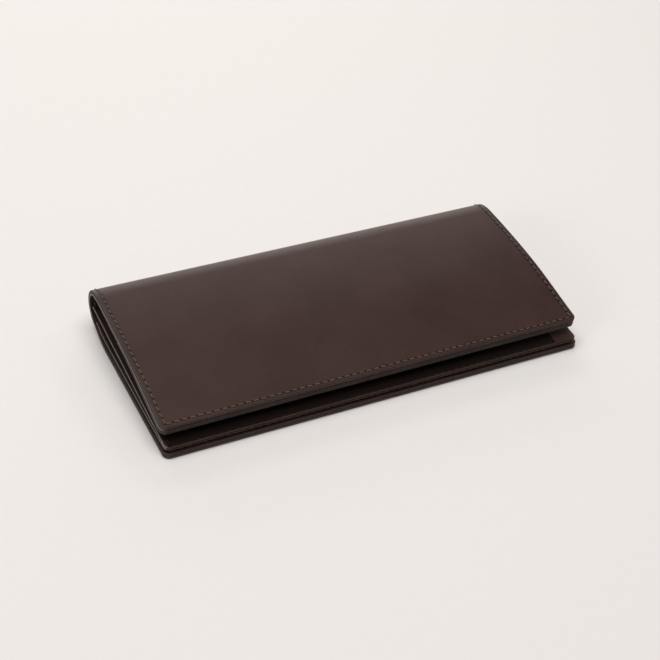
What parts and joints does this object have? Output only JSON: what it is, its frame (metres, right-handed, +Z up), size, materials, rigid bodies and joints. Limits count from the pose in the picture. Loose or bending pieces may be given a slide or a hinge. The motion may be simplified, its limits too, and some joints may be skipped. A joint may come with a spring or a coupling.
{
  "type": "long wallet",
  "caption": "Long leather bifold wallet with card pockets, a gusseted bill compartment and a zipped coin pocket; the spine unrolls so that it opens flat.",
  "frame": {"origin": "centre of the bounding box's bottom face, on the surface that the closed wallet lies on", "axes": "+X along the length, -Y towards the opening, +Y towards the spine, +Z up from the lower cover to the upper cover"},
  "size_m": [0.19, 0.0921, 0.0222],
  "materials": {
    "shell_leather": "smooth semi-gloss dark brown",
    "inner_leather": "smooth semi-gloss dark brown",
    "lining": "thin matte dark brown leather",
    "bag_cloth": "fine twill",
    "zip_tape": "woven zip tape",
    "zip_metal": "antique brass"
  },
  "bodies": {
    "lower_half": {"lower_cover": "shell_leather", "lower_lining": "lining", "lower_slip_panel": "inner_leather", "bill_compartment_wall": "inner_leather", "gusset_left_lower": "inner_leather", "gusset_right_lower": "inner_leather"},
    "spine_strip_1": {"spine_leather_1": "shell_leather", "spine_lining_1": "lining"},
    "spine_strip_2": {"spine_leather_2": "shell_leather", "spine_lining_2": "lining"},
    "spine_strip_3": {"spine_leather_3": "shell_leather", "spine_lining_3": "lining"},
    "spine_strip_4": {"spine_leather_4": "shell_leather", "spine_lining_4": "lining"},
    "spine_strip_5": {"spine_leather_5": "shell_leather", "spine_lining_5": "lining"},
    "spine_strip_6": {"spine_leather_6": "shell_leather", "spine_lining_6": "lining"},
    "upper_half": {"upper_cover": "shell_leather", "upper_lining": "lining", "upper_slip_panel": "inner_leather", "card_pocket_left_1": "inner_leather", "card_pocket_right_1": "inner_leather", "card_pocket_left_2": "inner_leather", "card_pocket_right_2": "inner_leather", "card_pocket_left_3": "inner_leather", "card_pocket_right_3": "inner_leather"},
    "coin_pocket_leaf": {"coin_pocket_panel": "inner_leather", "coin_pocket_strip": "inner_leather", "coin_pocket_bag": "bag_cloth", "zip_tape_front": "zip_tape", "zip_tape_rear": "zip_tape", "zip_end_tab_left": "inner_leather", "zip_end_tab_right": "inner_leather", "zip_stop_left": "zip_metal", "zip_stop_right": "zip_metal", "gusset_left_upper": "inner_leather", "gusset_right_upper": "inner_leather"},
    "zip_slider": {"zip_slider": "zip_metal"},
    "zip_pull": {"zip_pull": "zip_metal"}
  },
  "joints": [
    {"name": "spine_fold_1", "type": "hinge", "parent": "lower_half", "child": "spine_strip_1", "pos_m": [0, 0.0285, 0], "axis": [-1, 0, 0], "range_deg": [0, 20]},
    {"name": "spine_fold_2", "type": "hinge", "parent": "spine_strip_1", "child": "spine_strip_2", "pos_m": [0, 0.03993, 0.00416], "axis": [-1, 0, 0], "range_deg": [0, 16.47]},
    {"name": "spine_fold_3", "type": "hinge", "parent": "spine_strip_2", "child": "spine_strip_3", "pos_m": [0, 0.04417, 0.0073], "axis": [-1, 0, 0], "range_deg": [0, 32.94]},
    {"name": "spine_fold_4", "type": "hinge", "parent": "spine_strip_3", "child": "spine_strip_4", "pos_m": [0, 0.04603, 0.01223], "axis": [-1, 0, 0], "range_deg": [0, 32.94]},
    {"name": "spine_fold_5", "type": "hinge", "parent": "spine_strip_4", "child": "spine_strip_5", "pos_m": [0, 0.0449, 0.01738], "axis": [-1, 0, 0], "range_deg": [0, 32.94]},
    {"name": "spine_fold_6", "type": "hinge", "parent": "spine_strip_5", "child": "spine_strip_6", "pos_m": [0, 0.04115, 0.02109], "axis": [-1, 0, 0], "range_deg": [0, 32.94]},
    {"name": "spine_fold_7", "type": "hinge", "parent": "spine_strip_6", "child": "upper_half", "pos_m": [0, 0.03599, 0.02217], "axis": [-1, 0, 0], "range_deg": [0, 16.47]},
    {"name": "coin_leaf_lift", "type": "hinge", "parent": "lower_half", "child": "coin_pocket_leaf", "pos_m": [0, -0.0445, 0.0045], "axis": [1, 0, 0], "range_deg": [0, 9]},
    {"name": "zip_slide", "type": "slide", "parent": "coin_pocket_leaf", "child": "zip_slider", "axis": [-1, 0, 0], "range_m": [0, 0.132]},
    {"name": "zip_pull_swing", "type": "hinge", "parent": "zip_slider", "child": "zip_pull", "pos_m": [0.066, 0.02017, 0.0114], "axis": [0, 0.9973, 0.0732], "range_deg": [0, 180]}
  ],
  "couplings": [
    {"joint": "spine_fold_2", "follows": "spine_fold_1", "ratio": 0.8235},
    {"joint": "spine_fold_3", "follows": "spine_fold_1", "ratio": 1.647},
    {"joint": "spine_fold_4", "follows": "spine_fold_1", "ratio": 1.647},
    {"joint": "spine_fold_5", "follows": "spine_fold_1", "ratio": 1.647},
    {"joint": "spine_fold_6", "follows": "spine_fold_1", "ratio": 1.647},
    {"joint": "spine_fold_7", "follows": "spine_fold_1", "ratio": 0.8235},
    {"joint": "coin_leaf_lift", "follows": "spine_fold_1", "ratio": 0.45},
    {"joint": "zip_pull_swing", "follows": "spine_fold_1", "ratio": 9}
  ]
}
